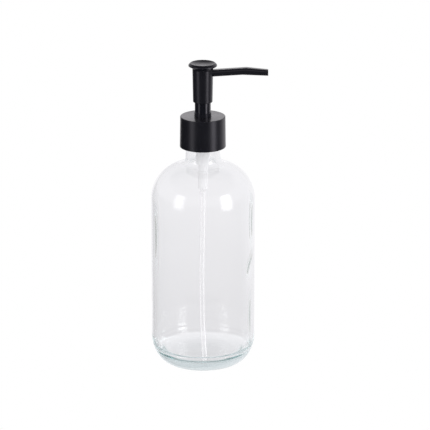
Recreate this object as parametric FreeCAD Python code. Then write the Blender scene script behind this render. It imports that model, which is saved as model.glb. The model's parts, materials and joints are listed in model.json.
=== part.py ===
import FreeCAD, Part
import math
import os

# Countertop soap dispenser: a round glass bottle with a hand pump screwed on its 28 mm neck.
# Millimetres. +Z is up, the origin is on the bottle's axis at its foot, and the spout points to +X.
# Heights are above the foot and radii are from the bottle's axis, unless a comment says otherwise.

Vector = FreeCAD.Vector

# ---------------------------------------------------------------- driving dimensions

# Fits
seat_gap = 0.02            # radial gap where one piece is pressed into another
running_gap = 0.05         # radial gap where a shaft slides or turns in a bore
stroke = 10.0              # travel of the pump head
ball_lift = 1.5            # travel of each valve ball

# Bottle
bottle_radius = 37.0
body_wall = 2.3
foot_radius = 23.6         # outer edge of the flat ring that the bottle stands on
foot_width = 1.2
heel_height = 19.8
push_up = 0.6              # how far the underside is domed upwards
floor_height = 8.2         # inside floor, at its rim
floor_dome = 0.5           # how far the inside floor rises at its middle
inner_heel_radius = 27.5   # where the inside floor starts to curve up
inner_heel_top = 24.0
shoulder_corner = 143.1    # where the wall's line and the shoulder's slope cross
shoulder_radius = 26.4
neck_corner = 148.3
neck_fillet = 4.4
inner_neck_corner = 146.6
inner_neck_fillet = 6.4
neck_radius = 12.4
mouth_radius = 9.6
finish_start = 157.2       # the threaded part of the neck begins here
finish_radius = 12.6
finish_top = 175.5
finish_step = 0.3          # height of the cone from the plain neck out to the threaded part
lip_fillet = 0.9

# Neck thread, right-handed, six turns to the inch
thread_pitch = 25.4 / 6
thread_turns = 1.3
bottle_thread_start = 166.4
bottle_thread_crest = 13.65
bottle_thread_crest_width = 0.9
bottle_thread_foot_width = 2.4
closure_thread_crest = 13.0
closure_thread_root = 13.95
closure_thread_crest_width = 0.7
closure_thread_foot_width = 1.9
thread_drop = 1.28         # how far the closure's thread lies under the bottle's when it is tight
thread_bite = 0.3          # how deep a thread's foot is sunk in its wall

# Closure and its smooth cover
cover_bottom = 160.2
cover_top = 182.4
cover_radius_bottom = 16.27
cover_radius_top = 15.95
cover_bore = 14.85
cover_roof = 1.4
closure_bottom = 161.0
closure_recess = 13.2
closure_web = 1.65

# Neck gasket and pump housing
gasket_thickness = 1.0
flange_thickness = 1.4
flange_radius = 12.8
cylinder_radius = 4.9
cylinder_bore = 4.0
cylinder_floor = 148.3
cylinder_bottom = 147.1
nipple_radius = 3.4
nipple_bottom = 128.9
tube_socket_top = 142.0
inlet_hole = 1.0
inlet_seat = 144.0         # where the conical seat of the inlet ball starts
vent_radius = 0.4
vent_height = 169.5

# Guide neck, which carries the stem and plugs the housing
guide_ring_radius = 12.0
guide_ring = 1.4
guide_radius = 5.67
guide_boss_radius = 6.0
guide_boss_top = 185.1
guide_top = 199.3
guide_well = 4.4
guide_bearing_bottom = 183.0
guide_bearing_top = 187.0
guide_skirt_bore = 2.9
wiper_height = 1.6

# Dip tube
tube_radius = 2.2
tube_bore = 1.55
tube_bend = 120.0          # below this the tube curls to the front of the floor
# Places that the tube's middle passes below the bend.
tube_route = [
    (-0.45, -0.75, 86.0),
    (-0.85, -3.9, 56.0),
    (-0.3, -12.4, 32.0),
    (1.3, -27.6, 9.8),
]

# Valve balls and their cages
ball_radius = 1.5
ball_gap = 0.05            # how far a resting ball stands off its seat
chamber_radius = 1.9
cage_thickness = 1.0
cage_bar = 0.8
bar_bite = 0.2             # how far a cage's bars run into its ring

# Plunger: piston, spring, stem and the plug that holds the piston on the stem
stem_radius = 2.5
stem_bore = 1.3
stem_foot_radius = 2.1     # the thinner foot of the stem, inside the piston
stem_foot_top = 172.5
stem_bottom = 166.4
stem_top = 207.5
piston_bottom = 166.5
piston_top = 173.0
piston_waist = 3.3
plug_flange_radius = 3.2
plug_bottom = 165.0
plug_top = 171.0
plug_bore = 0.75
spring_radius = 3.0        # to the middle of the wire
spring_wire = 0.65
spring_turns = 5.75

# Head
press_gap = 0.5            # what is left between the sleeve and the cover with the head down
core_gap = 0.3             # and between the core and the guide neck
sleeve_top = 216.3
sleeve_radius_bottom = 6.88
sleeve_radius_top = 7.28
sleeve_bore = 6.2
core_bottom = 203.5
core_boss_radius = 3.9
core_plug_radius = 4.0
core_plug_top = 217.6
outlet_cage_hole = 1.2
outlet_chamber_top = 215.2
button_radius = 10.05
button_flare = 2.4         # radius of the flare under the disc
button_edge = 219.7        # height of the button's widest line
button_crest_radius = 8.5
button_crest = 221.0
button_dish = 219.5        # height of the dished top at its middle
button_rim = 0.7           # height of the upright rim under the widest line
button_lip = 0.45          # width of the rounded lip each side of the crest
button_lip_drop = 0.15

# Spout: sections are (distance from the axis, height of the middle, width, depth, corner radius)
spout_sections = [
    (5.6, 213.75, 6.0, 4.7, 1.6),
    (29.2, 215.25, 6.0, 4.95, 1.6),
    (45.9, 214.1, 5.3, 4.1, 1.4),
]
spout_bend_lean = 0.6      # how far the bend leans outwards for each millimetre up
spout_axis = 213.9         # height of the spigot's axis
spigot_radius = 2.1
spigot_start = 2.65
spout_bore = 1.3
spout_mouth = 1.5
spout_mouth_depth = 1.2
spigot_end = 9.0

# ---------------------------------------------------------------- derived dimensions

gasket_top = finish_top + gasket_thickness
flange_top = gasket_top + flange_thickness
guide_ring_top = flange_top + guide_ring
closure_top = cover_top - cover_roof
closure_web_bottom = closure_top - closure_web
inner_radius = bottle_radius - body_wall
inlet_ball_height = inlet_seat - inlet_hole + ball_radius * math.sqrt(2) + ball_gap
outlet_seat = stem_top - (chamber_radius - stem_bore)
outlet_ball_height = outlet_seat + math.sqrt(ball_radius**2 - stem_bore**2) + ball_gap
outlet_cage_bottom = outlet_ball_height + ball_radius + ball_lift + 2 * ball_gap
sleeve_bottom = cover_top + stroke + press_gap
core_step = guide_top + stroke + core_gap


# ---------------------------------------------------------------- shape helpers

def at(radius, height):
    """A point of a turned piece's outline."""
    return Vector(radius, 0, height)


def fillet_between(corner, back, ahead, radius):
    """(end of the first line, middle of the arc, start of the second line) for a rounded corner."""
    a, b = (back - corner).normalize(), (ahead - corner).normalize()
    half = a.getAngle(b) / 2
    reach = radius / math.tan(half)
    middle = corner + (a + b).normalize() * (radius / math.sin(half) - radius)
    return corner + a * reach, middle, corner + b * reach


def quarter_ellipse(low, high):
    """A quarter of an ellipse that leaves `low` level and reaches `high` upright."""
    across, up = high.x - low.x, high.z - low.z
    centre = at(low.x, high.z)
    if up > across:
        curve = Part.Ellipse(low, high, centre)
    else:
        curve = Part.Ellipse(high, low, centre)
    first, last = sorted((curve.parameter(low), curve.parameter(high)))
    if last - first > math.pi:
        first, last = last, first + 2 * math.pi
    return Part.Edge(curve, first, last)


def turned(*steps):
    """A solid of revolution about Z. Each step is one corner of its closed outline:
    (radius, height), (radius, height, fillet), (radius, height, quarter_ellipse), which reaches
    its point on such a curve, or (via radius, via height, radius, height), which reaches its
    point on an arc through the via point."""
    corners = [at(*step[-2:]) if len(step) == 4 else at(*step[:2]) for step in steps]
    entries, exits, edges = list(corners), list(corners), []
    for i, step in enumerate(steps):
        if len(step) == 3 and step[2] is not quarter_ellipse:
            ahead = corners[(i + 1) % len(steps)]
            entries[i], middle, exits[i] = fillet_between(corners[i], corners[i - 1], ahead, step[2])
            edges.append(Part.Arc(entries[i], middle, exits[i]).toShape())
    for i, step in enumerate(steps):
        start, end = exits[i - 1], entries[i]
        if len(step) == 4:
            edges.append(Part.Arc(start, at(*step[:2]), end).toShape())
        elif step[2:] == (quarter_ellipse,):
            edges.append(quarter_ellipse(start, end))
        elif start.distanceToPoint(end) > 1e-6:
            edges.append(Part.makeLine(start, end))
    wire = Part.Wire(Part.__sortEdges__(edges))
    return Part.Face(wire).revolve(Vector(), Vector(0, 0, 1), 360)


def ring(inner, outer, bottom, top):
    return turned((inner, bottom), (outer, bottom), (outer, top), (inner, top))


def halfway_up(rim_radius, rim_height, pole_height):
    """(radius, height) of the point at half the rim's radius on a spherical dome or dish."""
    rise = pole_height - rim_height
    sphere = (rim_radius**2 + rise**2) / (2 * rise)
    half = rim_radius / 2
    drop = abs(sphere) - math.sqrt(sphere**2 - half**2)
    return half, pole_height - math.copysign(drop, rise)


def rod(radius, start, end):
    """A round bar between two points."""
    return Part.makeCylinder(radius, (end - start).Length, start, end - start)


def helical_ridge(start_height, foot, foot_width, crest, crest_width):
    """A right-handed ridge of thread_turns. Its foot and crest are radii."""
    helix = Part.makeHelix(thread_pitch, thread_pitch * thread_turns, foot)
    helix.translate(Vector(0, 0, start_height))
    corners = [
        at(radius, start_height + side * width / 2)
        for radius, width, side in (
            (foot, foot_width, -1), (crest, crest_width, -1), (crest, crest_width, 1), (foot, foot_width, 1))
    ]
    section = Part.makePolygon(corners + corners[:1])
    return Part.Wire(helix.Edges).makePipeShell([section], True, True)


def swept_disc(path, radius):
    first = path.Edges[0]
    start, along = first.valueAt(first.FirstParameter), first.tangentAt(first.FirstParameter)
    circle = Part.Wire(Part.makeCircle(radius, start, along))
    return path.makePipeShell([circle], True, False)


def rounded_section(distance, height, width, depth, corner, lean):
    """A spout section: a rounded rectangle across X, leaning outwards by `lean` per unit of height."""
    half_width, half_depth = width / 2 - corner, depth / 2 - corner
    edges = []
    for i, (across, up) in enumerate([(1, 1), (-1, 1), (-1, -1), (1, -1)]):
        arc_points = []
        for step in range(3):
            angle = math.pi / 2 * i + math.pi / 4 * step
            z = up * half_depth + corner * math.sin(angle)
            y = across * half_width + corner * math.cos(angle)
            arc_points.append(Vector(distance + lean * z, y, height + z))
        quarter = Part.BSplineCurve()
        quarter.interpolate(arc_points)
        if edges:
            edges.append(Part.makeLine(edges[-1].Vertexes[-1].Point, arc_points[0]))
        edges.append(quarter.toShape())
    edges.append(Part.makeLine(edges[-1].Vertexes[-1].Point, edges[0].Vertexes[0].Point))
    return Part.Wire(edges)


def barred_cage(radius, bottom, opening):
    """A flat ring whose opening is crossed by two bars, so liquid passes and a ball doesn't."""
    cage = ring(opening, radius, bottom, bottom + cage_thickness)
    for turn in (0, 90):
        bar = Part.makeBox(2 * (opening + bar_bite), cage_bar, cage_thickness)
        bar.translate(Vector(-opening - bar_bite, -cage_bar / 2, bottom))
        bar.rotate(Vector(), Vector(0, 0, 1), turn)
        cage = cage.fuse(bar)
    return cage.removeSplitter()


# ---------------------------------------------------------------- bottle

def bottle_blank():
    """The glass as one solid, without its cavity: foot, heel, wall, shoulder and neck."""
    foot_inner = foot_radius - foot_width
    return turned(
        (0, push_up), (*halfway_up(foot_inner, 0, push_up), foot_inner, 0), (foot_radius, 0),
        (bottle_radius, heel_height, quarter_ellipse),
        (bottle_radius, shoulder_corner, shoulder_radius), (neck_radius, neck_corner, neck_fillet),
        (neck_radius, finish_start), (finish_radius, finish_start + finish_step),
        (finish_radius, finish_top, lip_fillet), (0, finish_top))


def bottle_cavity():
    """The space for the soap, up through the mouth."""
    floor_middle, above = floor_height + floor_dome, finish_top + 1
    return turned(
        (0, floor_middle),
        (*halfway_up(inner_heel_radius, floor_height, floor_middle), inner_heel_radius, floor_height),
        (inner_radius, inner_heel_top, quarter_ellipse),
        (inner_radius, shoulder_corner - body_wall, shoulder_radius - body_wall),
        (mouth_radius, inner_neck_corner, inner_neck_fillet), (mouth_radius, above), (0, above))


def bottle():
    ridge = helical_ridge(
        bottle_thread_start, finish_radius - thread_bite, bottle_thread_foot_width,
        bottle_thread_crest, bottle_thread_crest_width)
    return bottle_blank().cut(bottle_cavity()).fuse(ridge)


# ---------------------------------------------------------------- closure

def collar_cover():
    """The smooth outer cap, a cup with a hole for the guide neck."""
    return turned(
        (cover_bore, cover_bottom), (cover_radius_bottom, cover_bottom, 0.3),
        (cover_radius_top, cover_top, 0.5),
        (guide_boss_radius + 2 * running_gap, cover_top),
        (guide_boss_radius + 2 * running_gap, closure_top), (cover_bore, closure_top))


def screw_closure():
    """The threaded ring inside the cover. Its web holds the guide neck and housing down."""
    shell = turned(
        (closure_thread_root, closure_bottom), (cover_bore - seat_gap, closure_bottom),
        (cover_bore - seat_gap, closure_top), (guide_boss_radius + 0.6, closure_top),
        (guide_boss_radius + 0.6, closure_web_bottom), (closure_recess, closure_web_bottom),
        (closure_recess, gasket_top - 0.4), (closure_thread_root, gasket_top - 1.1))
    ridge = helical_ridge(
        bottle_thread_start - thread_drop, closure_thread_root + thread_bite, closure_thread_foot_width,
        closure_thread_crest, closure_thread_crest_width)
    return shell.fuse(ridge)


# ---------------------------------------------------------------- pump body

def neck_gasket():
    return ring(mouth_radius + 0.1, finish_radius - 0.1, finish_top, gasket_top)


def pump_housing():
    """Flange, cylinder and nipple in one, with the inlet ball's seat and an air vent."""
    chamber_start = inlet_seat + chamber_radius - inlet_hole
    body = turned(
        (tube_radius + seat_gap, nipple_bottom), (nipple_radius, nipple_bottom, 0.3),
        (nipple_radius, cylinder_bottom), (cylinder_radius, cylinder_bottom, 0.4),
        (cylinder_radius, gasket_top), (flange_radius, gasket_top), (flange_radius, flange_top),
        (cylinder_bore, flange_top), (cylinder_bore, cylinder_floor),
        (chamber_radius, cylinder_floor), (chamber_radius, chamber_start),
        (inlet_hole, inlet_seat), (inlet_hole, tube_socket_top),
        (tube_radius + seat_gap, tube_socket_top))
    vent = rod(vent_radius, at(0, vent_height), at(cylinder_radius + 1, vent_height))
    return body.cut(vent)


def guide_neck():
    """Plugs the housing, guides the stem and stands up through the cover."""
    skirt = cylinder_bore - seat_gap
    bearing = stem_radius + running_gap
    return turned(
        (guide_skirt_bore, piston_top), (skirt, piston_top), (skirt, flange_top),
        (guide_ring_radius, flange_top), (guide_ring_radius, guide_ring_top),
        (guide_boss_radius, guide_ring_top), (guide_boss_radius, guide_boss_top),
        (guide_radius, guide_boss_top + 0.3), (guide_radius, guide_top, 0.4),
        (guide_well, guide_top), (guide_well, guide_bearing_top),
        (bearing, guide_bearing_top), (bearing, guide_bearing_bottom),
        (guide_skirt_bore, guide_bearing_bottom - 0.35))


def wiper_seal():
    """A lipped ring round the stem that keeps water out of the pump."""
    outer, lip = guide_well - seat_gap, stem_radius + running_gap
    top = guide_bearing_top + wiper_height
    return turned(
        (lip + 0.5, guide_bearing_top), (outer, guide_bearing_top), (outer, top),
        (outer - 0.7, top), (lip + 0.7, top - 0.8), (lip + 0.3, top), (lip, top),
        (lip, top - 0.5))


def dip_tube():
    bend = at(0, tube_bend)
    curl = Part.BSplineCurve()
    curl.interpolate([bend] + [Vector(*point) for point in tube_route])
    path = Part.Wire([Part.makeLine(at(0, tube_socket_top), bend), curl.toShape()])
    return swept_disc(path, tube_radius).cut(swept_disc(path, tube_bore))


def ball_cage():
    """Keeps the inlet ball in its chamber and seats the spring."""
    return barred_cage(cylinder_bore - seat_gap, cylinder_floor, chamber_radius)


def ball(height):
    return Part.makeSphere(ball_radius, at(0, height))


# ---------------------------------------------------------------- plunger

def piston():
    """A soft sleeve with a sealing lip at each end."""
    lip = cylinder_bore - running_gap
    bore = stem_foot_radius + running_gap
    return turned(
        (bore, piston_bottom), (lip - 0.7, piston_bottom), (lip - 0.5, piston_bottom + 0.6),
        (lip - 0.2, piston_bottom), (lip, piston_bottom), (lip, piston_bottom + 0.7),
        (piston_waist, piston_bottom + 1.6), (piston_waist, piston_top - 1.8),
        (lip, piston_top - 1.0), (lip, piston_top), (piston_waist - 0.2, piston_top),
        (piston_waist - 0.2, stem_foot_top), (bore, stem_foot_top))


def return_spring():
    """A compression spring between the ball cage and the plug's flange."""
    end_gap = 0.05 + spring_wire / 2
    bottom = cylinder_floor + cage_thickness + end_gap
    height = plug_bottom - end_gap - bottom
    helix = Part.makeHelix(height / spring_turns, height, spring_radius)
    helix.translate(Vector(0, 0, bottom))
    section = Part.Wire(Part.makeCircle(
        spring_wire / 2, Vector(spring_radius, 0, bottom), Vector(0, 1, 0)))
    return Part.Wire(helix.Edges).makePipeShell([section], True, True)


def stem():
    """The hollow shaft from the piston to the head. Its top is the outlet ball's seat."""
    return turned(
        (stem_bore, stem_bottom), (stem_foot_radius, stem_bottom),
        (stem_foot_radius, stem_foot_top), (stem_radius, stem_foot_top),
        (stem_radius, stem_top), (chamber_radius, stem_top), (stem_bore, outlet_seat))


def stem_plug():
    """A hollow rivet in the stem's foot. Its flange holds the piston and rests on the spring."""
    return turned(
        (plug_bore, plug_bottom), (plug_flange_radius, plug_bottom, 0.25),
        (plug_flange_radius, stem_bottom), (stem_bore - seat_gap, stem_bottom),
        (stem_bore - seat_gap, plug_top, 0.2), (plug_bore, plug_top))


# ---------------------------------------------------------------- head

def spigot_hole(start, end):
    return rod(spigot_radius + seat_gap, at(start, spout_axis), at(end, spout_axis))


def head_core():
    """Carries the head on the stem and leads the liquid to the spout."""
    outer = sleeve_bore - seat_gap
    body = turned(
        (stem_radius + seat_gap, core_bottom), (core_boss_radius, core_bottom, 0.3),
        (core_boss_radius, core_step), (outer, core_step), (outer, sleeve_top),
        (core_plug_radius, sleeve_top), (core_plug_radius, core_plug_top, 0.3),
        (0, core_plug_top), (0, outlet_chamber_top), (chamber_radius, outlet_chamber_top),
        (chamber_radius, stem_top), (stem_radius + seat_gap, stem_top))
    channel = rod(spout_bore, at(0, spout_axis), at(spigot_start, spout_axis))
    return body.cut(spigot_hole(spigot_start, outer + 1)).cut(channel)


def head_sleeve():
    """The tapered tube that slides over the guide neck when the head is pressed."""
    body = turned(
        (sleeve_bore, sleeve_bottom), (sleeve_radius_bottom, sleeve_bottom, 0.3),
        (sleeve_radius_top, sleeve_top), (sleeve_bore, sleeve_top))
    return body.cut(spigot_hole(sleeve_bore - 1, sleeve_radius_top + 1))


def head_button():
    """The dished disc on top, flared down to the sleeve."""
    socket = core_plug_radius + seat_gap
    flare_end = sleeve_radius_top + button_flare
    flare_middle = (1 - math.sqrt(0.5)) * button_flare, math.sqrt(0.5) * button_flare
    lip_height = button_crest - button_lip_drop
    dish_rim = button_crest_radius - button_lip, lip_height
    return turned(
        (socket, sleeve_top), (sleeve_radius_top, sleeve_top),
        (sleeve_radius_top + flare_middle[0], sleeve_top + flare_middle[1],
         flare_end, sleeve_top + button_flare),
        (button_radius, button_edge - button_rim, 0.2), (button_radius, button_edge, 0.5),
        (button_crest_radius + button_lip, lip_height),
        (button_crest_radius, button_crest, *dish_rim),
        (*halfway_up(*dish_rim, button_dish), 0, button_dish),
        (0, core_plug_top + 0.1), (socket, core_plug_top + 0.1))


def spout():
    """A flat-sided nozzle that rises, bends and narrows to its mouth."""
    leans = [0, spout_bend_lean, 0]
    wires = [rounded_section(*s, lean) for s, lean in zip(spout_sections, leans)]
    shell = Part.makeLoft(wires, True, True)
    inside = Part.makeCone(
        sleeve_radius_bottom + seat_gap, sleeve_radius_top + seat_gap,
        sleeve_top - sleeve_bottom, at(0, sleeve_bottom))
    shell = shell.cut(inside)
    spigot = rod(spigot_radius, at(spigot_start, spout_axis), at(spigot_end, spout_axis))
    bend = at(spout_sections[1][0], spout_sections[1][1])
    mouth = at(spout_sections[2][0], spout_sections[2][1])
    bore_points = [at(spigot_start - 1, spout_axis), at(spigot_end, spout_axis), bend, mouth]
    body = shell.fuse(spigot)
    for start, end in zip(bore_points, bore_points[1:]):
        body = body.cut(rod(spout_bore, start, end))
        body = body.cut(Part.makeSphere(spout_bore, end))
    outward = (mouth - bend).normalize()
    return body.cut(rod(spout_mouth, mouth - outward * spout_mouth_depth, mouth + outward * 2))


# ---------------------------------------------------------------- the nodes

nodes = {
    "bottle": bottle(),
    "collar_cover": collar_cover(),
    "screw_closure": screw_closure(),
    "neck_gasket": neck_gasket(),
    "pump_housing": pump_housing(),
    "guide_neck": guide_neck(),
    "wiper_seal": wiper_seal(),
    "dip_tube": dip_tube(),
    "ball_cage": ball_cage(),
    "inlet_ball": ball(inlet_ball_height),
    "piston": piston(),
    "return_spring": return_spring(),
    "stem": stem(),
    "stem_plug": stem_plug(),
    "outlet_ball": ball(outlet_ball_height),
    "outlet_cage": barred_cage(chamber_radius - seat_gap, outlet_cage_bottom, outlet_cage_hole),
    "head_core": head_core(),
    "head_sleeve": head_sleeve(),
    "head_button": head_button(),
    "spout": spout(),
}

os.makedirs("parts", exist_ok=True)
for name, shape in nodes.items():
    solid = shape.Solids[0] if len(shape.Solids) == 1 else shape
    solid.exportStep("parts/" + name + ".step")
    print(name, "valid", solid.isValid(), "solids", len(shape.Solids), "mm3", round(shape.Volume, 1))
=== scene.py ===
import json
import math

import bmesh
import bpy
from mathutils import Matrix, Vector, noise

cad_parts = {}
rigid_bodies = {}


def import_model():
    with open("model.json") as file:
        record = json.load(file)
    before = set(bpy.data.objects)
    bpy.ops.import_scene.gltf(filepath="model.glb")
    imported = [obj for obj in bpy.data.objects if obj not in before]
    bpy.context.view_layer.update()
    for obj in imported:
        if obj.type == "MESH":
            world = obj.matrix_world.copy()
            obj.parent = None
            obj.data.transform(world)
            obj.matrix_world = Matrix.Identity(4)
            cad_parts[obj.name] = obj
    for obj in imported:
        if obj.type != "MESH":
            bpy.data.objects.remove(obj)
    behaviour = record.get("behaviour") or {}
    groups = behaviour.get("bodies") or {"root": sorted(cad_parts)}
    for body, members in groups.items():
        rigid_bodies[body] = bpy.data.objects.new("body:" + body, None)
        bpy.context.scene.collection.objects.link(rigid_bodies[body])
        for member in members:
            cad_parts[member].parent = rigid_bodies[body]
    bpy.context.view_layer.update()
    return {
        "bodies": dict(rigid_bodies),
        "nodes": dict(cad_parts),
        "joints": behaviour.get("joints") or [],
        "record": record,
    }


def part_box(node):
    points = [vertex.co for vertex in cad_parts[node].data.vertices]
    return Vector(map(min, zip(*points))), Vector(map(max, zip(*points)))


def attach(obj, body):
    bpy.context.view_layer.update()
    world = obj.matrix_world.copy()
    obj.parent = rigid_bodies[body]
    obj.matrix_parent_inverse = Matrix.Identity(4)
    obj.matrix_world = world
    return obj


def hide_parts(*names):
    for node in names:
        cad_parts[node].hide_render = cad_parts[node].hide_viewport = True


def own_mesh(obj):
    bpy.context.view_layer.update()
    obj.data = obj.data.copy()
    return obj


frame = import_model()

# Looks of the soap pump dispenser. Metres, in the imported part's frame: +Z up, spout towards +X.

MM = 0.001
TURN = 2 * math.pi
WHITE = (1, 1, 1, 1)
LEAST_FILLET_STEPS = 10
POLE_RADIUS = 1e-7      # an outline point nearer to the axis than this is on it


# ---------------------------------------------------------------- outlines

def ellipse_points(low, high, count):
    """A quarter ellipse that leaves `low` level and reaches `high` upright."""
    across, up = high[0] - low[0], high[1] - low[1]
    angles = [i / count * TURN / 4 for i in range(count + 1)]
    return [(low[0] + across * math.sin(a), high[1] - up * math.cos(a)) for a in angles]


def dome_points(rim_radius, rim_height, pole_height, count):
    """A spherical dome or dish, from its pole to its rim."""
    rise = pole_height - rim_height
    sphere = (rim_radius**2 + rise**2) / (2 * rise)
    points = []
    for i in range(count + 1):
        r = rim_radius * i / count
        drop = abs(sphere) - math.sqrt(sphere**2 - r**2)
        points.append((r, pole_height - math.copysign(drop, rise)))
    return points


def rounded(corners, count):
    """An outline through (radius, height) or (radius, height, fillet) corners.

    A fillet gets at most `count` steps, and a small one fewer.
    """
    points = []
    for i, corner in enumerate(corners):
        here = Vector(corner[:2])
        if len(corner) == 2:
            points.append(tuple(here))
            continue
        back = (Vector(corners[i - 1][:2]) - here).normalized()
        ahead = (Vector(corners[(i + 1) % len(corners)][:2]) - here).normalized()
        half = back.angle(ahead) / 2
        centre = here + (back + ahead).normalized() * (corner[2] / math.sin(half))
        start = here + back * (corner[2] / math.tan(half)) - centre
        sweep = start.angle_signed(here + ahead * (corner[2] / math.tan(half)) - centre)
        base = math.atan2(start.y, start.x)
        steps = min(count, LEAST_FILLET_STEPS + round(corner[2] / MM))
        for k in range(steps + 1):
            a = base - sweep * k / steps
            points.append((centre.x + corner[2] * math.cos(a), centre.y + corner[2] * math.sin(a)))
    return points


def resampled(points, longest):
    """The same outline with no run longer than `longest`."""
    out = [points[0]]
    for a, b in zip(points, points[1:]):
        steps = max(1, math.ceil(math.dist(a, b) / longest))
        out += [
            (a[0] + (b[0] - a[0]) * k / steps, a[1] + (b[1] - a[1]) * k / steps)
            for k in range(1, steps + 1)
        ]
    return out


# ---------------------------------------------------------------- meshes

def mesh_object(name, bm, sharp_angle=None):
    """A smooth-shaded object, with edges sharper than `sharp_angle` degrees kept sharp."""
    bmesh.ops.recalc_face_normals(bm, faces=bm.faces)
    mesh = bpy.data.meshes.new(name)
    bm.to_mesh(mesh)
    bm.free()
    mesh.shade_smooth()
    if sharp_angle:
        mesh.set_sharp_from_angle(angle=math.radians(sharp_angle))
    piece = bpy.data.objects.new(name, mesh)
    bpy.context.scene.collection.objects.link(piece)
    return piece


def lathe(name, outline, segments, shape):
    """Turns an outline of (radius, height) about Z, from pole to pole.

    `shape(radius, angle, height, index)` gives a point's radius.
    """
    bm = bmesh.new()
    rings = []
    for index, (radius, height) in enumerate(outline):
        if radius < POLE_RADIUS:
            rings.append([bm.verts.new((0, 0, height))])
            continue
        ring = []
        for s in range(segments):
            a = TURN * s / segments
            r = shape(radius, a, height, index)
            ring.append(bm.verts.new((r * math.cos(a), r * math.sin(a), height)))
        rings.append(ring)
    for low, high in zip(rings, rings[1:]):
        for s in range(segments):
            t = (s + 1) % segments
            corners = [low[s % len(low)], low[t % len(low)], high[t % len(high)], high[s % len(high)]]
            corners = list(dict.fromkeys(corners))
            if len(corners) > 2:
                bm.faces.new(corners)
    return mesh_object(name, bm)


# ---------------------------------------------------------------- materials

class Tree:
    """Short calls for adding nodes and linking them."""

    def __init__(self, owner):
        owner.use_nodes = True
        self.tree = owner.node_tree
        self.tree.nodes.clear()

    def add(self, kind, inputs=None, **settings):
        """A node with its settings, and each input linked to a socket or set to a value."""
        node = self.tree.nodes.new(kind)
        for key, value in settings.items():
            setattr(node, key, value)
        for key, value in (inputs or {}).items():
            socket = node.inputs[key]
            if isinstance(value, bpy.types.NodeSocket):
                self.tree.links.new(value, socket)
            else:
                socket.default_value = value
        return node

    def math(self, operation, *values, clamp=False):
        node = self.add("ShaderNodeMath", operation=operation, use_clamp=clamp)
        for i, value in enumerate(values):
            if isinstance(value, bpy.types.NodeSocket):
                self.tree.links.new(value, node.inputs[i])
            else:
                node.inputs[i].default_value = value
        return node.outputs[0]

    def span(self, value, low, high, out_low, out_high, smooth=False):
        """`value` from low..high, mapped to out_low..out_high."""
        node = self.add("ShaderNodeMapRange", {0: value, 1: low, 2: high, 3: out_low, 4: out_high})
        if smooth:
            node.interpolation_type = "SMOOTHSTEP"
        return node.outputs[0]

    def noise(self, scale, detail=2.0, stretch=None):
        """Noise in the object's own space, `scale` cells a metre."""
        where = self.add("ShaderNodeTexCoord").outputs["Object"]
        if stretch:
            where = self.add("ShaderNodeMapping", {"Vector": where, "Scale": stretch}).outputs[0]
        return self.add(
            "ShaderNodeTexNoise", {"Vector": where, "Scale": scale, "Detail": detail, "Roughness": 0.5}
        ).outputs["Fac"]

    def blend(self, factor, first, second):
        """A colour between two."""
        node = self.add("ShaderNodeMix", data_type="RGBA")
        for index, value in zip((0, 6, 7), (factor, first, second)):
            socket = node.inputs[index]
            if isinstance(value, bpy.types.NodeSocket):
                self.tree.links.new(value, socket)
            else:
                socket.default_value = value
        return node.outputs[2]

    def bump(self, height, distance):
        return self.add(
            "ShaderNodeBump", {"Height": height, "Distance": distance, "Strength": 1.0}
        ).outputs[0]

    def surface(self, shader, **more):
        self.add("ShaderNodeOutputMaterial", {"Surface": shader.outputs[0], **more})


def grey(value):
    return (value, value, value, 1)


def new_material(name):
    material = bpy.data.materials.new(name)
    return material, Tree(material)


def black_plastic(name, roughness, grain):
    """Moulded black plastic: near-black, with a fine grain and slight clouding."""
    material, t = new_material(name)
    speckle = t.noise(2400, detail=3)
    cloud = t.noise(90, detail=3)
    shader = t.add("ShaderNodeBsdfPrincipled", {
        "Base Color": t.blend(cloud, (0.0034, 0.0038, 0.0058, 1), (0.0056, 0.0060, 0.0088, 1)),
        "Roughness": t.span(
            t.math("ADD", speckle, cloud), 0.7, 1.3, roughness - 0.03, roughness + 0.05),
        "Normal": t.bump(speckle, grain),
        "IOR": 1.5,
        "Specular Tint": (0.94, 0.90, 1.0, 1),
    })
    t.surface(shader)
    return material


DEEP_RAY, DEEP_GLOW = 8, 0.05


def clear_glass():
    """Clear glass with a faint tint in its thickness.

    Rays that have been bent or mirrored many times pick up a faint glow, in place of the light that
    the renderer stops following.
    """
    material, t = new_material("clear_glass_look")
    streaks = t.noise(18, detail=2, stretch=(1, 1, 0.15))
    shader = t.add("ShaderNodeBsdfPrincipled", {
        "Base Color": t.blend(streaks, (0.99, 0.995, 1.0, 1), WHITE),
        "Roughness": t.span(t.noise(300, detail=3), 0.35, 0.75, 0.0, 0.02),
        "Transmission Weight": 1.0,
        "IOR": 1.5,
    })
    deep = t.math("GREATER_THAN", t.add("ShaderNodeLightPath").outputs["Ray Depth"], DEEP_RAY)
    t.tree.links.new(t.math("MULTIPLY", deep, DEEP_GLOW), shader.inputs["Emission Strength"])
    shader.inputs["Emission Color"].default_value = (1.0, 0.90, 0.88, 1)
    material.cycles.emission_sampling = "NONE"
    tint = t.add("ShaderNodeVolumeAbsorption", {"Color": (0.70, 0.81, 0.82, 1), "Density": 15.0})
    t.surface(shader, Volume=tint.outputs[0])
    return material


def milky_plastic(name):
    """Unpigmented plastic, cloudy and only a little see-through."""
    material, t = new_material(name)
    cloud = t.noise(160, detail=3)
    shader = t.add("ShaderNodeBsdfPrincipled", {
        "Base Color": t.blend(cloud, grey(0.912), grey(0.95)),
        "Roughness": t.span(cloud, 0.3, 0.7, 0.36, 0.46),
        "Transmission Weight": 0.08,
        "IOR": 1.45,
    })
    t.surface(shader)
    return material


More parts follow.
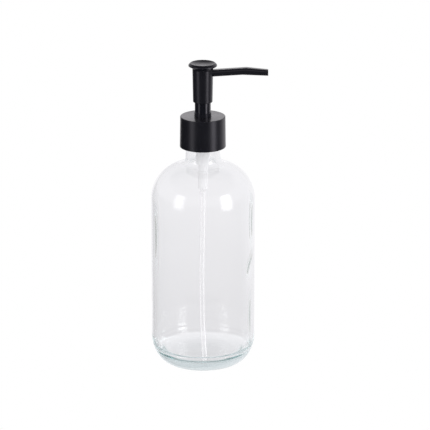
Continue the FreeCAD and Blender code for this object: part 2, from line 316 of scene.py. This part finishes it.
def clear_plastic(name, milk):
    """Unpigmented plastic that is seen through, whiter edge-on, where more of it is crossed."""
    material, t = new_material(name)
    cloud = t.noise(160, detail=3)
    edge = t.add("ShaderNodeLayerWeight", {"Blend": 0.5}).outputs["Facing"]
    milky = t.math("MULTIPLY", t.math("POWER", edge, 0.8), milk, clamp=True)
    shader = t.add("ShaderNodeBsdfPrincipled", {
        "Base Color": t.blend(cloud, grey(0.96), grey(1.0)),
        "Roughness": t.span(cloud, 0.3, 0.7, 0.1, 0.14),
        "Transmission Weight": t.math("SUBTRACT", 0.98, milky, clamp=True),
        "IOR": 1.05,
    })
    t.surface(shader)
    return material


def polished_steel(name, roughness):
    """Drawn or ground steel with faint lines."""
    material, t = new_material(name)
    lines = t.noise(900, detail=2, stretch=(1, 1, 6))
    shader = t.add("ShaderNodeBsdfPrincipled", {
        "Base Color": t.blend(lines, (0.55, 0.55, 0.56, 1), (0.68, 0.68, 0.70, 1)),
        "Metallic": 1.0,
        "Roughness": t.span(lines, 0.3, 0.7, roughness, roughness + 0.12),
    })
    t.surface(shader)
    return material


def foam():
    """Pale foamed rubber with fine cells."""
    material, t = new_material("gasket_foam_look")
    cells = t.noise(3500, detail=4)
    shader = t.add("ShaderNodeBsdfPrincipled", {
        "Base Color": t.blend(cells, (0.72, 0.72, 0.70, 1), (0.86, 0.86, 0.84, 1)),
        "Roughness": t.span(cells, 0.3, 0.7, 0.7, 0.9),
        "Normal": t.bump(cells, 0.05 * MM),
    })
    t.surface(shader)
    return material


# ---------------------------------------------------------------- bottle

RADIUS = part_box("bottle")[1].x
FINISH_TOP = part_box("bottle")[1].z
SEGMENTS = 256          # round the bottle
LONGEST_OUTER, LONGEST_INNER = 4 * MM, 2.5 * MM     # runs of the two outlines

# Outside
FOOT_INNER, FOOT_OUTER = 22.4 * MM, 23.6 * MM
PUSH_UP = 0.6 * MM
HEEL_HEIGHT = 19.8 * MM
SHOULDER_CORNER, SHOULDER_RADIUS = 143.1 * MM, 26.4 * MM
NECK_RADIUS, NECK_CORNER, NECK_FILLET = 12.4 * MM, 148.3 * MM, 4.4 * MM
FINISH_RADIUS, FINISH_STEP_LOW, FINISH_STEP_HIGH = 12.6 * MM, 157.0 * MM, 157.3 * MM
FINISH_STEP_ROUND = 0.3 * MM
THREADED_LOW, THREADED_HIGH, THREADED_STEPS = 165, 174.5, 36     # mm; close rows for the thread
LIP_OUTER_ROUND, LIP_INNER_ROUND = 0.9 * MM, 0.45 * MM

# Inside
MOUTH_RADIUS, MOUTH_ROW, BORE_ROW = 9.6 * MM, 150 * MM, 170 * MM
INNER_RADIUS = RADIUS - 2.3 * MM
INNER_NECK_CORNER, INNER_NECK_FILLET = 146.6 * MM, 6.4 * MM
INNER_SHOULDER_CORNER, INNER_SHOULDER_RADIUS = 140.8 * MM, 24.1 * MM
INNER_HEEL_RADIUS, INNER_HEEL_TOP = 28 * MM, 20.5 * MM
FLOOR_RIM, FLOOR_POLE = 8.2 * MM, 8.7 * MM
# A faint raised line round the inside of the heel; its depth is in mm.
HEEL_LINE, HEEL_LINE_WIDTH, HEEL_LINE_DEPTH = 13 * MM, 0.9 * MM, 0.35

# Waves of the inner wall: size in mm, noise cells across the bottle's radius, height of a cell in mm.
RIPPLE, RIPPLE_TURNS, RIPPLE_HEIGHT = 0.22, 1.4, 22
FINE, FINE_TURNS, FINE_HEIGHT, FINE_SHIFT = 0.02, 3, 7, 7
# They fade out over the shoulder and towards the middle of the floor.
CALM_HEIGHT, CALM_REACH, CALM_RADIUS = 135 * MM, 20 * MM, 30 * MM

# Thick places in the wall: bearing, lean, breadth, height, reach up and down, depth. Degrees and mm.
SWELLINGS = [
    (-12, 0, 7, 108, 14, 1.8),
    (-20, 0.6, 6, 75, 6, 2.0),
    (-162, 0, 6, 97, 17, 1.5),
    (-18, 0, 5, 38, 12, 1.4),
]

THREAD_DEPTH = 1.05 * MM
THREAD_PITCH = 25.4 / 6 * MM
THREAD_START, THREAD_TURNS = 166.4 * MM, 1.3
THREAD_CREST, THREAD_FOOT = 0.45 * MM, 1.2 * MM     # half widths
THREAD_FADE = 0.03      # turns over which an end runs out


def push_up_points(count):
    """The underside, rising smoothly from the foot's inner edge to the middle."""
    return [
        (FOOT_INNER * i / count, PUSH_UP * (1 + math.cos(math.pi * i / count)) / 2)
        for i in range(count + 1)
    ]


def bottle_outlines():
    """The outside from the middle of the underside to the mouth, and the inside back to the floor."""
    outer = push_up_points(count=20)
    outer += ellipse_points((FOOT_OUTER, 0), (RADIUS, HEEL_HEIGHT), count=40)
    outer += rounded([
        (RADIUS, HEEL_HEIGHT),
        (RADIUS, SHOULDER_CORNER, SHOULDER_RADIUS),
        (NECK_RADIUS, NECK_CORNER, NECK_FILLET),
        (NECK_RADIUS, FINISH_STEP_LOW, FINISH_STEP_ROUND),
        (FINISH_RADIUS, FINISH_STEP_HIGH, FINISH_STEP_ROUND),
        (FINISH_RADIUS, THREADED_LOW * MM),
    ], count=36)[1:]
    outer += [
        (FINISH_RADIUS, (THREADED_LOW + (THREADED_HIGH - THREADED_LOW) * i / THREADED_STEPS) * MM)
        for i in range(1, THREADED_STEPS)
    ]
    outer += rounded([
        (FINISH_RADIUS, THREADED_HIGH * MM),
        (FINISH_RADIUS, FINISH_TOP, LIP_OUTER_ROUND),
        (MOUTH_RADIUS, FINISH_TOP, LIP_INNER_ROUND),
        (MOUTH_RADIUS, MOUTH_ROW),
    ], count=8)[:-1]
    inner = rounded([
        (MOUTH_RADIUS, BORE_ROW),
        (MOUTH_RADIUS, INNER_NECK_CORNER, INNER_NECK_FILLET),
        (INNER_RADIUS, INNER_SHOULDER_CORNER, INNER_SHOULDER_RADIUS),
        (INNER_RADIUS, INNER_HEEL_TOP),
    ], count=36)
    heel = ellipse_points((INNER_HEEL_RADIUS, FLOOR_RIM), (INNER_RADIUS, INNER_HEEL_TOP), count=48)
    floor = dome_points(INNER_HEEL_RADIUS, FLOOR_RIM, FLOOR_POLE, count=12)
    inner += heel[::-1][1:] + floor[::-1][1:]
    return resampled(outer, LONGEST_OUTER), resampled(inner, LONGEST_INNER)


def thread_height(angle, height):
    """How far the screw thread stands out of the neck."""
    best = 0
    for lap in range(math.ceil(THREAD_TURNS)):
        turns = angle / TURN + lap
        end = min(turns, THREAD_TURNS - turns)
        if end < 0:
            continue
        off = abs(height - THREAD_START - THREAD_PITCH * turns)
        slope = (THREAD_FOOT - off) / (THREAD_FOOT - THREAD_CREST)
        best = max(best, min(1, max(0, slope)) * min(1, end / THREAD_FADE))
    return best * THREAD_DEPTH


def swelling(angle, height):
    """How far the thick places of the blown wall stand inwards."""
    total = 0
    for bearing, lean, breadth, middle, reach, depth in SWELLINGS:
        off = height - middle * MM
        aside = angle - math.radians(bearing) - lean * off / RADIUS
        across = 2 * math.sin(aside / 2) / math.radians(breadth)
        total += depth * MM * math.exp(-across**2 - (off / (reach * MM)) ** 2)
    return total


def wave(angle, height, turns, tall, shift=0):
    """Smooth noise round the wall, from -1 to 1."""
    return noise.noise(Vector((
        turns * math.cos(angle) + shift, turns * math.sin(angle), height / (tall * MM))))


def bottle_glass():
    outer, inner = bottle_outlines()
    border = len(outer)

    def shape(radius, angle, height, index):
        if index < border:
            return radius + (thread_height(angle, height) if radius == FINISH_RADIUS else 0)
        ripple = wave(angle, height, RIPPLE_TURNS, RIPPLE_HEIGHT)
        fine = wave(angle, height, FINE_TURNS, FINE_HEIGHT, FINE_SHIFT)
        fade = min(1, max(0, (CALM_HEIGHT - height) / CALM_REACH))
        fade *= min(1, radius / CALM_RADIUS) ** 2
        waves = fade * (RIPPLE * ripple + FINE * fine)
        line = HEEL_LINE_DEPTH * math.exp(-((height - HEEL_LINE) / HEEL_LINE_WIDTH) ** 2)
        return radius + (waves - line) * MM - swelling(angle, height)

    return lathe("bottle_glass", outer + inner, SEGMENTS, shape)


# ---------------------------------------------------------------- dip tube

TUBE_RADIUS, TUBE_BORE = 2.2 * MM, 1.55 * MM
TUBE_TOP, TUBE_BEND = 142 * MM, 120 * MM
TUBE_GAP = 0.2 * MM     # between the tube's top and the end of its socket
TUBE_SEGMENTS, TUBE_STEPS, STRAIGHT_STEPS = 40, 14, 6
CHAMFER_SHARE = 0.2     # of the wall
# Places the tube's middle passes on its way to the front of the floor.
TUBE_ROUTE = [
    Vector((0, 0, TUBE_BEND)),
    Vector((-0.45, -0.75, 86)) * MM,
    Vector((-0.85, -3.9, 56)) * MM,
    Vector((-0.3, -12.4, 32)) * MM,
    Vector((1.3, -27.6, 9.8)) * MM,
]


def hermite_path(points, first_tangent, steps):
    """A smooth line through the points."""
    tangents = [first_tangent]
    for back, ahead in zip(points, points[2:]):
        tangents.append((ahead - back) / 2)
    tangents.append((points[-1] - points[-2]) * 1.5 - tangents[-1] * 0.5)
    line = []
    for i in range(len(points) - 1):
        for k in range(steps):
            u = k / steps
            line.append(
                points[i] * (2 * u**3 - 3 * u**2 + 1) + tangents[i] * (u**3 - 2 * u**2 + u)
                + points[i + 1] * (3 * u**2 - 2 * u**3) + tangents[i + 1] * (u**3 - u**2)
            )
    return line + [points[-1]]


def tube_sweep(name, line, outer, bore, segments):
    """A hollow tube along a line, with chamfers on its cut ends. Its bore has the second material."""
    edge = (outer - bore) * CHAMFER_SHARE
    bm = bmesh.new()
    ways = [(b - a).normalized() for a, b in zip(line, line[1:])]
    ways.append(ways[-1])
    side = Vector((1, 0, 0))
    frames = []
    for place, way in zip(line, ways):
        side = (side - way * side.dot(way)).normalized()
        frames.append((place, side, way.cross(side)))

    def loop(frame, radius, shift=0):
        place, side, up = frame
        middle = place + side.cross(up) * shift
        angles = [TURN * k / segments for k in range(segments)]
        return [
            bm.verts.new(middle + (side * math.cos(a) + up * math.sin(a)) * radius) for a in angles
        ]

    loops = [loop(frames[0], bore + edge, -edge), loop(frames[0], outer - edge, -edge)]
    loops += [loop(frame, outer) for frame in frames]
    loops += [loop(frames[-1], outer - edge, edge), loop(frames[-1], bore + edge, edge)]
    bore_start = len(loops)
    loops += [loop(frame, bore) for frame in reversed(frames)]
    for i, (low, high) in enumerate(zip(loops, loops[1:] + loops[:1])):
        for k in range(segments):
            j = (k + 1) % segments
            bm.faces.new((low[k], low[j], high[j], high[k])).material_index = int(i >= bore_start)
    return mesh_object(name, bm)


def dip_tube():
    fall = Vector((0, 0, TUBE_ROUTE[1].z - TUBE_BEND))
    top = Vector((0, 0, TUBE_TOP - TUBE_GAP))
    line = [top.lerp(TUBE_ROUTE[0], k / STRAIGHT_STEPS) for k in range(STRAIGHT_STEPS)]
    line += hermite_path(TUBE_ROUTE, fall, TUBE_STEPS)
    return tube_sweep("tube", line, TUBE_RADIUS, TUBE_BORE, TUBE_SEGMENTS)


# ---------------------------------------------------------------- spring

SPRING_SEAT, SPRING_TOP = 149.3 * MM, 165 * MM
SPRING_RADIUS, SPRING_WIRE, SPRING_TURNS = 3 * MM, 0.65 * MM, 5.75
SPRING_CLOSING = 0.1    # how much closer the end coils lie
SPRING_END = 0.6        # wire diameters from the spring's end to the middle of its wire
SPRING_STEPS = 28       # points a turn


def coil_spring():
    """A compression spring whose end coils lie closer together."""
    curve = bpy.data.curves.new("spring_line", "CURVE")
    curve.dimensions = "3D"
    curve.bevel_depth, curve.bevel_resolution, curve.use_fill_caps = SPRING_WIRE / 2, 3, True
    low = SPRING_SEAT + SPRING_WIRE * SPRING_END
    rise = SPRING_TOP - SPRING_WIRE * SPRING_END - low
    steps = round(SPRING_TURNS * SPRING_STEPS)
    line = curve.splines.new("POLY")
    line.points.add(steps)
    for i, point in enumerate(line.points):
        u = i / steps
        a = TURN * SPRING_TURNS * u
        height = low + rise * (u - SPRING_CLOSING * math.sin(TURN * u))
        point.co = (SPRING_RADIUS * math.cos(a), SPRING_RADIUS * math.sin(a), height, 1)
    wire = bpy.data.objects.new("spring_wire", curve)
    bpy.context.scene.collection.objects.link(wire)
    bpy.context.view_layer.update()
    bm = bmesh.new()
    bm.from_mesh(bpy.data.meshes.new_from_object(wire))
    bpy.data.objects.remove(wire)
    return mesh_object("spring", bm, sharp_angle=60)


# ---------------------------------------------------------------- assembly

glass = bottle_glass()
glass.data.materials.append(clear_glass())
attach(glass, "bottle")
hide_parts("bottle")

tube = dip_tube()
tube.data.materials.append(clear_plastic("tube_look", 0.0))
tube.data.materials.append(clear_plastic("tube_bore_look", 1.15))
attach(tube, "pump_body")
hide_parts("dip_tube")

spring = coil_spring()
spring.data.materials.append(polished_steel("spring_look", 0.22))
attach(spring, "pump_body")
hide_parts("return_spring")
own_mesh(spring)

satin_black = black_plastic("satin_black", 0.30, 0.012 * MM)
gloss_black = black_plastic("gloss_black", 0.14, 0.004 * MM)
natural = milky_plastic("natural_look")
ball_look = polished_steel("ball_look", 0.08)
foam_look = foam()

NODE_LOOKS = {
    satin_black: ("collar_cover", "head_sleeve", "head_button", "spout", "screw_closure", "head_core"),
    gloss_black: ("guide_neck",),
    natural: ("pump_housing", "ball_cage", "piston", "stem", "stem_plug", "outlet_cage"),
    ball_look: ("inlet_ball", "outlet_ball"),
    foam_look: ("neck_gasket", "wiper_seal"),
}
for look, names in NODE_LOOKS.items():
    for name in names:
        for slot in frame["nodes"][name].material_slots:
            slot.material = look


# ---------------------------------------------------------------- stage, light, camera

# The floor and the world are plain white to the camera. What is seen through the glass or mirrored
#  in it and in the black plastic has levels of its own, which stand for the studio round the bottle;
#  on the floor these levels are painted shadow and painted light.
SEEN_THROUGH = (0.995, 0.978, 1.0, 1)
FLOOR_SIZE, FLOOR_DROP = 8, 0.2 * MM


def stage_floor():
    """White to the camera. Through the glass it shows painted light and shade: a painted bright ring
    under the heel, painted shade at the middle, and painted shadow round the foot and in front.
    """
    bm = bmesh.new()
    bmesh.ops.create_grid(bm, x_segments=1, y_segments=1, size=FLOOR_SIZE)
    floor = mesh_object("stage_floor", bm)
    floor.location.z = -FLOOR_DROP
    material, t = new_material("stage_floor_painted_shade_look")
    path = t.add("ShaderNodeLightPath")
    place = t.add("ShaderNodeNewGeometry").outputs["Position"]
    reach = t.add("ShaderNodeVectorMath", {0: place}, operation="LENGTH").outputs["Value"]
    depth = t.add("ShaderNodeSeparateXYZ", {0: place}).outputs["Y"]
    # Painted light and shade: a painted bright ring under the heel, painted shade towards the middle
    # and a painted shadow ring outside it
    ring = t.math(
        "MINIMUM",
        t.span(reach, 8 * MM, 36 * MM, 0.76, 0.97, smooth=True),
        t.span(reach, 42 * MM, 50 * MM, 0.97, 0.8, smooth=True))
    # Painted shadow on the floor in front of the bottle
    front = t.math("MINIMUM", ring, t.span(depth, -30 * MM, -16 * MM, 0.52, 0.97, smooth=True))
    # Painted shadow round the foot, lifting with distance
    painted_outer_shadow = t.math(
        "MINIMUM",
        t.span(reach, 50 * MM, 64 * MM, 0.50, 1, smooth=True),
        t.span(reach, 80 * MM, 420 * MM, 0.83, 0.935))
    through = t.math("MAXIMUM", front, painted_outer_shadow)
    level = t.math("MAXIMUM", path.outputs["Is Camera Ray"], through)
    shade = t.blend(path.outputs["Is Camera Ray"], SEEN_THROUGH, WHITE)
    t.surface(t.add("ShaderNodeEmission", {"Color": shade, "Strength": level}))
    material.cycles.emission_sampling = "NONE"
    floor.data.materials.append(material)
    floor.visible_glossy = False
    floor.visible_shadow = False


def studio_world():
    """White to the camera and through the glass; a dim studio with a lit backdrop in reflections."""
    world = bpy.data.worlds.new("studio")
    bpy.context.scene.world = world
    world.cycles.sampling_method = "NONE"
    t = Tree(world)
    path = t.add("ShaderNodeLightPath")
    axes = t.add("ShaderNodeSeparateXYZ", {0: t.add("ShaderNodeTexCoord").outputs["Generated"]})
    x, y, up = axes.outputs
    side = t.math("DIVIDE", t.math("ARCTAN2", x, t.math("MULTIPLY", y, -1)), math.radians(1))
    away = t.math("ABSOLUTE", side)     # degrees from the camera's side

    # In reflections: walls and backdrop, the table behind, and a bright wall on the right
    walls = t.math(
        "MULTIPLY",
        t.span(up, -0.02, 0.10, 0, 1, smooth=True), t.span(up, 0.45, 0.70, 1, 0, smooth=True))
    backdrop = t.math(
        "MAXIMUM",
        t.span(away, 60, 140, 0.5, 0.70, smooth=True), t.span(away, 164, 180, 0, 1.7, smooth=True))
    glow = t.math("MULTIPLY", walls, backdrop)
    table = t.math(
        "MULTIPLY",
        t.span(up, -0.02, 0.10, 1, 0, smooth=True), t.span(away, 140, 160, 0, 0.95, smooth=True))
    right = t.math(
        "MULTIPLY",
        t.span(side, 80, 130, 0, 0.9, smooth=True), t.span(up, 0.5, 0.8, 1, 0, smooth=True))
    brightest = t.math("MAXIMUM", t.math("MAXIMUM", glow, table), right)
    mirrored_level = t.math("ADD", brightest, 0.04)
    mirrored = t.math(
        "SUBTRACT", path.outputs["Is Glossy Ray"], path.outputs["Is Transmission Ray"], clamp=True)
    level = t.add("ShaderNodeMix", {0: mirrored, 2: 0.90, 3: mirrored_level}, data_type="FLOAT")
    level = t.math("MAXIMUM", level.outputs[0], path.outputs["Is Camera Ray"])

    # Milky plastic inside the glass is lit evenly, a little more from the right
    scattered = t.math("GREATER_THAN", path.outputs["Diffuse Depth"], 0)
    level = t.math("MAXIMUM", level, t.math("MULTIPLY", scattered, t.span(x, -1, 1, 0.95, 1.75)))
    shade = t.blend(path.outputs["Is Camera Ray"], SEEN_THROUGH, WHITE)
    sky = t.add("ShaderNodeBackground", {"Color": shade, "Strength": level})
    t.add("ShaderNodeOutputWorld", {"Surface": sky.outputs[0]})


SOFTBOX_WIDTH, SOFTBOX_TOP, SOFTBOX_DISTANCE = 0.66, 0.75, 1.0
FADE_ACROSS, FADE_ALONG = 0.40, 0.16    # how far a softbox's edges fade inwards


def softbox(name, azimuth, low, radiance):
    """An upright soft light that faces the object. Azimuth 0 is the camera's side, in degrees.

    Surfaces that light has scattered from don't see it, because the world lights those.
    """
    a = math.radians(azimuth)
    height = SOFTBOX_TOP - low
    light = bpy.data.lights.new(name, "AREA")
    light.shape = "RECTANGLE"
    light.size, light.size_y = SOFTBOX_WIDTH, height
    light.energy = radiance * math.pi * SOFTBOX_WIDTH * height
    t = Tree(light)
    place = t.add("ShaderNodeNewGeometry").outputs["Parametric"]
    across, along, _ = t.add("ShaderNodeSeparateXYZ", {0: place}).outputs
    fades = [
        t.span(t.math("PINGPONG", value, 0.5), 0, edge, 0, 1, smooth=True)
        for value, edge in ((across, FADE_ACROSS), (along, FADE_ALONG))
    ]
    direct = t.math("LESS_THAN", t.add("ShaderNodeLightPath").outputs["Diffuse Depth"], 1)
    strength = t.math("MULTIPLY", t.math("MULTIPLY", *fades), direct)
    glow = t.add("ShaderNodeEmission", {"Strength": strength})
    t.add("ShaderNodeOutputLight", {"Surface": glow.outputs[0]})
    lamp = bpy.data.objects.new(name, light)
    lamp.location = (
        SOFTBOX_DISTANCE * math.sin(a), -SOFTBOX_DISTANCE * math.cos(a), (low + SOFTBOX_TOP) / 2)
    outwards = Vector((lamp.location.x, lamp.location.y, 0))
    lamp.rotation_euler = outwards.to_track_quat("Z", "Y").to_euler()
    lamp.visible_camera = False
    bpy.context.scene.collection.objects.link(lamp)


CAMERA_PITCH, CAMERA_DISTANCE = math.radians(18), 2.0
CAMERA_TARGET = Vector((8.6 * MM, 0, 109 * MM))
SENSOR, LENS = 36, 234.9    # mm


def camera():
    data = bpy.data.cameras.new("camera")
    data.sensor_width, data.lens = SENSOR, LENS
    cam = bpy.data.objects.new("camera", data)
    back = Vector((0, -math.cos(CAMERA_PITCH), math.sin(CAMERA_PITCH)))
    cam.location = CAMERA_TARGET + back * CAMERA_DISTANCE
    cam.rotation_euler = back.to_track_quat("Z", "Y").to_euler()
    bpy.context.scene.collection.objects.link(cam)
    bpy.context.scene.camera = cam


stage_floor()
studio_world()
softbox("key_softbox", 55, -0.19, 4.2)
softbox("fill_softbox", -55, -0.17, 2.2)
camera()
bpy.context.scene.view_settings.view_transform = "Standard"
paths = bpy.context.scene.cycles
paths.max_bounces, paths.glossy_bounces, paths.transmission_bounces = 40, 24, 40
paths.blur_glossy = 0
